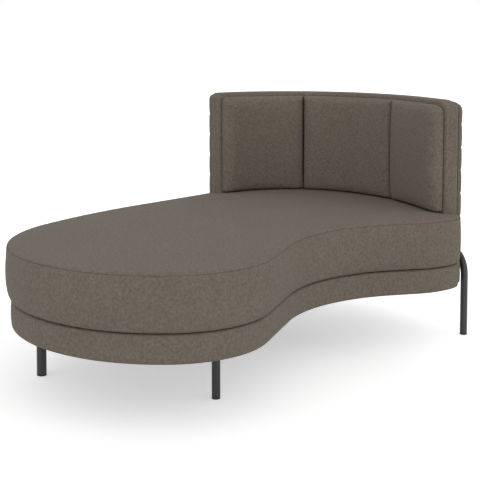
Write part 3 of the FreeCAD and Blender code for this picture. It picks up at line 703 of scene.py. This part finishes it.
# %% Channels
CHANNEL = 0.046               # thickness of the inner cushion
PAD_BOTTOM = SEAT_TOP + 0.0003
PAD_TOP = 0.811
PAD_BACK = RIM_IN - 0.0003
UP_SHARE = np.array([0.0, 0.02, 0.05, 0.11, 0.25, 0.5, 0.75, 0.88, 0.94, 0.975, 1.0])
UP_FULL = np.array([0.72, 0.84, 0.93, 1.0, 1.045, 1.07, 1.045, 0.99, 0.92, 0.80, 0.62])
VALLEY = 0.020                # width of the valley at a seam
CREASE, CREASE_WIDE = 0.0035, 0.004       # depth and width of the crease in it
TAPER = 0.07                  # share of the height over which a seam runs out at the top
END_ROUND, END_FLAT = 0.048, 0.40         # length of a free end's rounding, thickness left
FIRST_PAD_CORNER, LAST_PAD_CORNER = (0.060, 0.032), (0.020, 0.018)
PADS = {                      # start, end, depth of the valley at each, solid
    "inner_back_right": (0.004, 0.358, 0.0, 0.015, "back_channel_right"),
    "inner_back_middle": (0.358, 0.856, 0.015, 0.015, "back_channel_middle"),
    "inner_back_left": (0.856, BACK_END - 0.004, 0.015, 0.0, "back_channel_left"),
}


def shape_pad(co, first, last, first_drop, last_drop):
    """Gives a flat pad its crown, its valleys at the seams and its round free ends."""
    width = last - first
    from_first = np.clip(co[:, 0] - first, 0, width)
    from_last = width - from_first
    up = np.clip((co[:, 2] - PAD_BOTTOM) / (PAD_TOP - PAD_BOTTOM), 0, 1)
    across = np.sin(np.pi * from_first / width)
    thickness = CHANNEL * np.interp(up, UP_SHARE, UP_FULL) * (0.95 + 0.09 * across ** 0.7)
    tapered = np.clip((1 - up) / TAPER, 0, 1)
    for gap, drop in ((from_first, first_drop), (from_last, last_drop)):
        if drop:
            crease = CREASE * np.exp(-gap / CREASE_WIDE)
            thickness -= tapered * (drop * np.exp(-gap / VALLEY) + crease)
        else:
            share = np.clip(gap / END_ROUND, 0, 1)
            thickness *= END_FLAT + (1 - END_FLAT) * np.sqrt(1 - (1 - share) ** 2)
    share = (PAD_BACK - co[:, 1]) / CHANNEL
    co[:, 1] = PAD_BACK - share * thickness
    if not first_drop:
        co = round_corner(co, first, PAD_TOP, *FIRST_PAD_CORNER, -1)
    if not last_drop:
        co = round_corner(co, last, PAD_TOP, *LAST_PAD_CORNER, 1)
    return co


PAD_INSET = 0.0012            # each box is this much smaller than its place
PAD_ROUND, PAD_VOXEL = 0.004, 0.006
PAD_PRESSURE, PAD_CAP, WALL = 3.0, 0.003, 0.0002
pads = []
for name, (first, last, first_drop, last_drop, node) in PADS.items():
    pad = soft_box(name, (first + PAD_INSET, PAD_BACK - CHANNEL, PAD_BOTTOM + PAD_INSET),
                   (last - PAD_INSET, PAD_BACK, PAD_TOP - PAD_INSET), PAD_ROUND, PAD_VOXEL)
    write_points(pad, shape_pad(read_points(pad), first, last, first_drop, last_drop))
    fill(pad, PAD_PRESSURE, PAD_CAP)
    finer(pad)
    co = read_points(pad)
    co[:, 0] = np.clip(co[:, 0], first + WALL, last - WALL)
    co[:, 1] = np.minimum(co[:, 1], PAD_BACK)
    co[:, 2] = np.clip(co[:, 2], PAD_BOTTOM, PAD_TOP + PAD_CAP)
    write_points(pad, co)
    pads.append((bend(pad), node))
    print(name, len(pad.data.polygons), "faces")

# %% [markdown]
# ## The quilted outer panel
# From behind, the shell is quilted in squares. Only its edge shows in the photograph, as a
# row of soft bumps, and the squares follow from the distance between them. A grid
# is bulged square by square, with a narrow groove along every stitched line, and a flat copy
# of the grid closes it at the back. It reaches nearly to both ends of the shell, where the
# photograph shows its edge, and its upper corners are as round as the rim's.

# %% Quilting
QUILT_IN, QUILT_FLAT = -0.0061, 0.018     # offset of its back, and its plain thickness
BULGE, STITCH = 0.0045, 0.0016            # height of a square, depth of a stitched line
QUILT_END = 0.008
QUILT_LOW, QUILT_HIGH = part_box("back_quilted_panel")[0].z - 0.007, BACK_TOP - 0.003
QUILT_WIDE = BACK_END - 2 * QUILT_END
COLUMNS, ROWS, FINE = 16, 8, 14           # squares round and up, and faces across a square


def groove(share, cell, width=0.0045):
    """1 on a stitched line, falling off to 0 within a few millimetres."""
    gap = np.abs(share - np.rint(share)) * cell
    return np.exp(-(gap / width) ** 2)


def quilting():
    """The quilted face and its plain back, which meet all round the border."""
    wide, high = COLUMNS * FINE, ROWS * FINE
    bpy.ops.object.select_all(action="DESELECT")
    bpy.ops.mesh.primitive_grid_add(x_subdivisions=wide, y_subdivisions=high, size=1)
    obj = bpy.context.object
    obj.name = obj.data.name = "outer_quilting"
    bpy.ops.object.mode_set(mode="EDIT")
    bpy.ops.mesh.select_all(action="SELECT")
    bpy.ops.mesh.duplicate()
    bpy.ops.mesh.flip_normals()
    bpy.ops.object.mode_set(mode="OBJECT")
    flat = read_points(obj)
    on_back = np.arange(len(flat)) >= len(flat) // 2
    column = np.rint((flat[:, 0] + 0.5) * wide)
    row = np.rint((flat[:, 1] + 0.5) * high)
    u, v = column / FINE, row / FINE
    swell = (np.abs(np.sin(np.pi * u)) * np.abs(np.sin(np.pi * v))) ** 0.45
    cut = np.maximum(groove(u, QUILT_WIDE / COLUMNS), groove(v, (QUILT_HIGH - QUILT_LOW) / ROWS))
    height = QUILT_FLAT + BULGE * swell - STITCH * cut
    border = np.minimum.reduce([column, wide - column, row, high - row])
    height *= np.interp(border, [0, 1, 2], [0, 0.93, 1.0])
    height[on_back] = 0
    x = QUILT_END + u / COLUMNS * QUILT_WIDE
    z = QUILT_LOW + v / ROWS * (QUILT_HIGH - QUILT_LOW)
    co = np.column_stack([x, QUILT_IN + height, z])
    co = round_corner(co, QUILT_END, QUILT_HIGH, *FIRST_CORNER, -1)
    co = round_corner(co, QUILT_END + QUILT_WIDE, QUILT_HIGH, *LAST_CORNER, 1)
    write_points(obj, co)
    return obj


quilt = quilting()
bend(quilt)
print("quilting", len(quilt.data.polygons), "faces")

# %% [markdown]
# ## Finishes
# A finish is a network of small nodes. To keep that readable, a socket is wrapped in a class
# whose operators add the maths nodes, so that a pattern is written as a formula. Any other
# node comes from one method, which takes its type, its settings and its sockets.

# %% Sockets that can be used in formulas
def plug(slot, value):
    """Links a wrapped socket to a slot, or sets the slot's value."""
    if isinstance(value, Wire):
        slot.id_data.links.new(value.socket, slot)
    else:
        slot.default_value = value


class Wire:
    """A node's output that can be added, multiplied and so on."""

    def __init__(self, socket):
        self.socket = socket

    def maths(self, operation, *values):
        made = self.socket.id_data.nodes.new("ShaderNodeMath")
        made.operation = operation
        for slot, value in zip(made.inputs, values):
            plug(slot, value)
        return Wire(made.outputs[0])

    def __add__(self, other):
        return self.maths("ADD", self, other)

    def __sub__(self, other):
        return self.maths("SUBTRACT", self, other)

    def __rsub__(self, other):
        return self.maths("SUBTRACT", other, self)

    def __mul__(self, other):
        return self.maths("MULTIPLY", self, other)

    def __abs__(self):
        return self.maths("ABSOLUTE", self)

    def sine(self):
        return self.maths("SINE", self)

    def above(self, level):
        return self.maths("GREATER_THAN", self, level)

    __radd__ = __add__
    __rmul__ = __mul__


class Finish:
    """A material in the making."""

    def __init__(self, name, **sockets):
        self.material = bpy.data.materials.new(name)
        self.material.use_nodes = True
        self.tree = self.material.node_tree
        self.shader = self.tree.nodes["Principled BSDF"]
        self.set(**sockets)

    def set(self, **sockets):
        for key, value in sockets.items():
            plug(self.shader.inputs[key.replace("_", " ")], value)

    def node(self, kind, settings=None, sockets=None, out=0):
        made = self.tree.nodes.new("ShaderNode" + kind)
        for key, value in (settings or {}).items():
            setattr(made, key, value)
        for key, value in (sockets or {}).items():
            plug(made.inputs[key], value)
        return Wire(made.outputs[out])

    def blend(self, share, a, b):
        return self.node("Mix", {"data_type": "RGBA"}, {0: share, 6: a, 7: b}, 2)

    def noise(self, place, scale, detail=3.0):
        return self.node("TexNoise", {}, {"Vector": place, "Scale": scale, "Detail": detail})

    def stretch(self, place, scale):
        return self.node("Mapping", {}, {"Vector": place, "Scale": scale})

    def relief(self, height, depth, strength=1.0):
        sockets = {"Height": height, "Distance": depth, "Strength": strength}
        self.set(Normal=self.node("Bump", {}, sockets))


print("formula sockets ready")

# %% [markdown]
# ### The taupe cloth
# One plain woven cloth covers everything: a grey-brown yarn, a little uneven, with a matt
# face. The cloth map gives warp and weft in metres. Each thread is half a sine wave, and the
# product of both waves tells which thread is on top. Noise at three scales gives flecks,
# the uneven felted face and a slow change of the yarn's tone.

# %% Upholstery cloth
THREAD = 0.0019
YARN_LIGHT, YARN_DARK = (0.236, 0.195, 0.155, 1), (0.101, 0.083, 0.066, 1)


def cloth_finish():
    """Plain weave with slubs in the yarn, small flecks and a slightly felted face."""
    cloth = Finish("taupe_cloth", Roughness=0.92, Sheen_Weight=0.12, Sheen_Roughness=0.5,
                   Sheen_Tint=(0.75, 0.7, 0.64, 1), Specular_IOR_Level=0.2)
    place = cloth.node("UVMap", {"uv_map": "weave"})
    split = cloth.node("SeparateXYZ", {}, {0: place})
    warp = (split * (math.pi / THREAD)).sine()
    weft = (Wire(split.socket.node.outputs[1]) * (math.pi / THREAD)).sine()
    over = warp * weft * 0.5 + 0.5
    height = abs(warp) * over + abs(weft) * (1 - over)
    slub = cloth.noise(cloth.stretch(place, (90.0, 900.0, 1.0)), 1.0)
    slub_down = cloth.noise(cloth.stretch(place, (900.0, 90.0, 1.0)), 1.0)
    yarn = over * slub + (1 - over) * slub_down
    solid = cloth.node("TexCoord", out=3)
    fleck = cloth.noise(solid, 420.0, 2.0)
    mottle = cloth.noise(solid, 130.0, 2.0)
    cloud = cloth.noise(solid, 5.0, 2.0)
    # painted shade: height * 0.12 lightens the tops of the threads, so the hollows between them are
    # painted darker
    tone = yarn * 0.7 + fleck * 0.6 + mottle * 1.2 + cloud * 0.16 - 0.83 + height * 0.12
    cloth.set(Base_Color=cloth.blend(tone, YARN_DARK, YARN_LIGHT))
    cloth.relief(height * 0.5 + fleck * 0.9 + mottle * 2.6, 0.0016, 0.85)
    return cloth.material


taupe = cloth_finish()
print("cloth thread", THREAD * 1000, "mm")

# %% [markdown]
# ### Thread, lining and webbing
# The seam's cord is a tighter yarn with a twist, coloured darker than the cloth as painted
# shade for the seam's crease. Underneath, a dark non-woven lining hides the works, and
# elastic webbing spans the openings in the deck.

# %% Thread, lining, webbing
TWIST, RIB, STRIPE = 0.003, 0.003, 0.02   # how often a pattern repeats, in metres


def seam_shade_cord_finish():
    """A twisted yarn, coloured darker than the cloth as painted shade along the seam."""
    thread = Finish("seam_thread", Roughness=0.8, Specular_IOR_Level=0.2)
    split = thread.node("SeparateXYZ", {}, {0: thread.node("UVMap", {"uv_map": "weave"})})
    turned = Wire(split.socket.node.outputs[1]) * (2 * math.pi / CORD_ROUND)
    twist = (split * (2 * math.pi / TWIST) + turned).sine() * 0.5 + 0.5
    # painted shade: the cord's dark colours stand in for the shade in the seam's crease
    thread.set(Base_Color=thread.blend(twist, (0.080, 0.066, 0.054, 1), (0.125, 0.104, 0.085, 1)))
    thread.relief(twist, 0.0004)
    return thread.material


def lining_finish():
    """Thin black felt with a cloudy density."""
    lining = Finish("dark_lining", Roughness=0.95, Specular_IOR_Level=0.15)
    place = lining.node("TexCoord", out=3)
    fibres = lining.noise(place, 700.0, 4.0)
    cloud = lining.noise(place, 14.0)
    lining.set(Base_Color=lining.blend(
        fibres * 0.8 + cloud * 0.3, (0.008, 0.008, 0.008, 1), (0.03, 0.029, 0.028, 1)))
    lining.relief(fibres, 0.0004, 0.5)
    return lining.material


def webbing_finish():
    """Ribbed elastic bands with a dark stripe."""
    webbing = Finish("elastic_webbing", Roughness=0.85)
    place = webbing.node("TexCoord", out=3)
    split = webbing.node("SeparateXYZ", {}, {0: place})
    rib = (Wire(split.socket.node.outputs[1]) * (2 * math.pi / RIB)).sine() * 0.5 + 0.5
    stripe = (split * (2 * math.pi / STRIPE)).sine().above(0.75)
    tint = webbing.blend(stripe, (0.62, 0.56, 0.44, 1), (0.05, 0.05, 0.05, 1))
    webbing.set(Base_Color=webbing.blend(rib * 0.3, tint, (0.3, 0.27, 0.2, 1)))
    webbing.relief(rib, 0.0006, 0.7)
    return webbing.material


print("thread, lining and webbing defined")

# %% [markdown]
# ### Wood, steel and plastic
# Boards and rails are bare plywood with long grain. Tubes and plates have a satin
# black powder coat with a very fine orange-peel surface. Bolts are zinc plated, and the
# glides are matt moulded plastic.

# %% Hard finishes
PLY = 0.003                   # two layers of the plywood


def wood_finish():
    """Long grain on the faces and fine layers up the edges."""
    wood = Finish("bare_plywood", Roughness=0.6)
    place = wood.node("TexCoord", out=3)
    grain = wood.noise(wood.stretch(place, (3.0, 60.0, 60.0)), 1.0, 6.0)
    height = wood.node("SeparateXYZ", {}, {0: place}, 2)
    layers = (height * (2 * math.pi / PLY)).sine()
    tone = grain + layers * 0.12
    wood.set(Base_Color=wood.blend(tone, (0.33, 0.2, 0.1, 1), (0.66, 0.48, 0.28, 1)),
             Roughness=0.5 + grain * 0.25)
    wood.relief(grain, 0.0004, 0.4)
    return wood.material


def coat_finish():
    """Satin powder coat with a fine orange peel."""
    coat = Finish("black_powder_coat", Specular_IOR_Level=0.5)
    place = coat.node("TexCoord", out=3)
    peel = coat.noise(place, 900.0, 2.0)
    cloud = coat.noise(place, 18.0, 3.0)
    coat.set(Base_Color=coat.blend(cloud, (0.018, 0.018, 0.019, 1), (0.030, 0.030, 0.030, 1)),
             Roughness=0.36 + peel * 0.16)
    coat.relief(peel, 0.00025, 0.35)
    return coat.material


def zinc_finish():
    """Bright zinc with faint streaks."""
    zinc = Finish("zinc_plate", Metallic=1.0)
    place = zinc.node("TexCoord", out=3)
    brushed = zinc.noise(zinc.stretch(place, (40.0, 40.0, 900.0)), 1.0, 4.0)
    zinc.set(Base_Color=zinc.blend(brushed, (0.42, 0.43, 0.45, 1), (0.66, 0.66, 0.64, 1)),
             Roughness=0.25 + brushed * 0.3)
    zinc.relief(brushed, 0.0001, 0.4)
    return zinc.material


def glide_finish():
    """Matt moulded plastic with light scuffs."""
    plastic = Finish("matt_black_plastic", Specular_IOR_Level=0.4)
    place = plastic.node("TexCoord", out=3)
    grain = plastic.noise(place, 1400.0, 2.0)
    scuff = plastic.noise(place, 60.0, 5.0)
    plastic.set(Base_Color=plastic.blend(scuff, (0.012, 0.012, 0.012, 1), (0.03, 0.03, 0.03, 1)),
                Roughness=0.55 + scuff * 0.25)
    plastic.relief(grain, 0.0002, 0.5)
    return plastic.material


def foam_finish():
    """Open cells of cut foam."""
    foam = Finish("cut_foam", Roughness=0.95)
    cells = foam.noise(foam.node("TexCoord", out=3), 600.0, 2.0)
    foam.set(Base_Color=foam.blend(cells, (0.55, 0.5, 0.36, 1), (0.8, 0.76, 0.62, 1)))
    foam.relief(cells, 0.0008, 0.6)
    return foam.material


finishes = {
    "upholstery_fabric": taupe, "lining": lining_finish(), "webbing": webbing_finish(),
    "foam": foam_finish(), "plywood": wood_finish(), "black_steel": coat_finish(),
    "zinc_steel": zinc_finish(), "black_plastic": glide_finish(),
}
print("finishes:", ", ".join(finishes))

# %% [markdown]
# ## Dress the frame
# Every node of the frame that stays gets the finish of its own slot in the record. The soft
# pieces get the cloth, ride on the frame and take the place of their solids.

# %% Assign finishes and replace the soft solids
for entry in frame["record"]["subparts"]:
    node = nodes[entry["node"]]
    node.data.materials.clear()
    node.data.materials.append(finishes[entry["material_slot"]])


def dress(obj, fullness, *solids):
    """Cloth, body and slot of a soft piece; fullness is not used."""
    obj.data.materials.clear()
    obj.data.materials.append(taupe)
    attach(obj, "root")
    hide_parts(*solids)


dress(seat, 0.95, "seat_cover_top", "seat_cover_band", "seat_cover_bottom",
      "seat_foam_core", "seat_topper")
dress(base, 0.95, "base_cover", "base_padding")
dress(rim, 0.9, "back_rim_cover", "back_padding")
dress(quilt, 0.8, "back_quilted_panel")
for pad, node in pads:
    dress(pad, 0.85, node)
seat_seam.data.materials.clear()
seat_seam.data.materials.append(seam_shade_cord_finish())
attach(seat_seam, "root")
print("dressed", 5 + len(pads), "pieces")

# %% [markdown]
# ## The studio
# A white floor and soft light from all round, a little stronger from the left and in front.
# The floor shows white to the camera through a glow of its own, which casts no light on the
# object. The glow is weaker under the object, which paints shade there on top of the floor's own
# soft shadow, and stronger away from it, which paints the shadow's outer edge out to white.

# %% Floor
def seen(finish_tree):
    """1 for rays that show the background: camera, glossy and transmission."""
    path = finish_tree.nodes.new("ShaderNodeLightPath")
    camera_ray, glossy, through = (Wire(path.outputs[key]) for key in (
        "Is Camera Ray", "Is Glossy Ray", "Is Transmission Ray"))
    return camera_ray.maths("MINIMUM", camera_ray + glossy + through, 1.0)


bpy.ops.object.select_all(action="DESELECT")
bpy.ops.mesh.primitive_plane_add(size=60, location=(0, 0, -0.0004))
floor = bpy.context.object
floor.name = "studio_floor"
paint = Finish("studio_floor_paint", Base_Color=(0.86, 0.86, 0.86, 1), Roughness=1.0,
               Specular_IOR_Level=0.0, Emission_Strength=1.0)
# painted shade: the floor glows less under the object than away from it, so it is darker there than
# its real shadow makes it
GLOW_UNDER_PAINTED_SHADE, AWAY = 0.48, 0.70
NEAR, SPREAD = 0.62, 1.9      # where the stronger glow starts, and how fast it grows
spot = paint.node("Mapping", {}, {"Vector": paint.node("TexCoord", out=3),
                                  "Location": (0.45, 0.1, 0.0), "Scale": (0.8, 0.6, 0.0)})
reach = paint.node("VectorMath", {"operation": "LENGTH"}, {0: spot}, 1)
# the glow grows with the distance from the object, so the floor is painted darker close under it
glow = paint.blend((reach - NEAR) * SPREAD, (GLOW_UNDER_PAINTED_SHADE, GLOW_UNDER_PAINTED_SHADE, GLOW_UNDER_PAINTED_SHADE, 1), (AWAY, AWAY, AWAY, 1))
paint.set(Emission_Color=paint.blend(seen(paint.tree), (0, 0, 0, 1), glow))
floor.data.materials.append(paint.material)
print("floor glow", GLOW_UNDER_PAINTED_SHADE, "under the object,", AWAY, "away from it")

# %% [markdown]
# The air round the object lights it evenly from all sides and is seen as white. Three very
# wide lamps add a little direction: from the foot end, from the front and a touch from
# above. Their light doesn't fall off with distance, so it is even all over the floor.

# %% World and lamps
world = bpy.data.worlds.new("studio_air")
world.use_nodes = True
bpy.context.scene.world = world
AIR = 0.63
air = world.node_tree.nodes["Background"]
mix = world.node_tree.nodes.new("ShaderNodeMix")
mix.data_type = "RGBA"
for slot, value in ((0, seen(world.node_tree)), (6, (AIR, AIR, AIR, 1)), (7, (1, 1, 1, 1))):
    plug(mix.inputs[slot], value)
plug(air.inputs["Color"], Wire(mix.outputs[2]))
air.inputs["Strength"].default_value = 1.0
LAMPS = {                     # place, strength, width in degrees
    "left_light": ((-3.4, -0.6, 1.0), 0.66, 80),
    "front_light": ((-0.4, -3.2, 0.8), 0.86, 80),
    "top_light": ((0.2, -0.4, 3.5), 0.03, 60),
}
for name, (place, strength, softness) in LAMPS.items():
    turn = (-Vector(place)).to_track_quat("-Z", "Y").to_euler()
    bpy.ops.object.light_add(type="SUN", location=place, rotation=turn)
    light = bpy.context.object
    light.name = name
    light.data.energy = strength
    light.data.angle = math.radians(softness)
bpy.context.scene.view_settings.view_transform = "Standard"
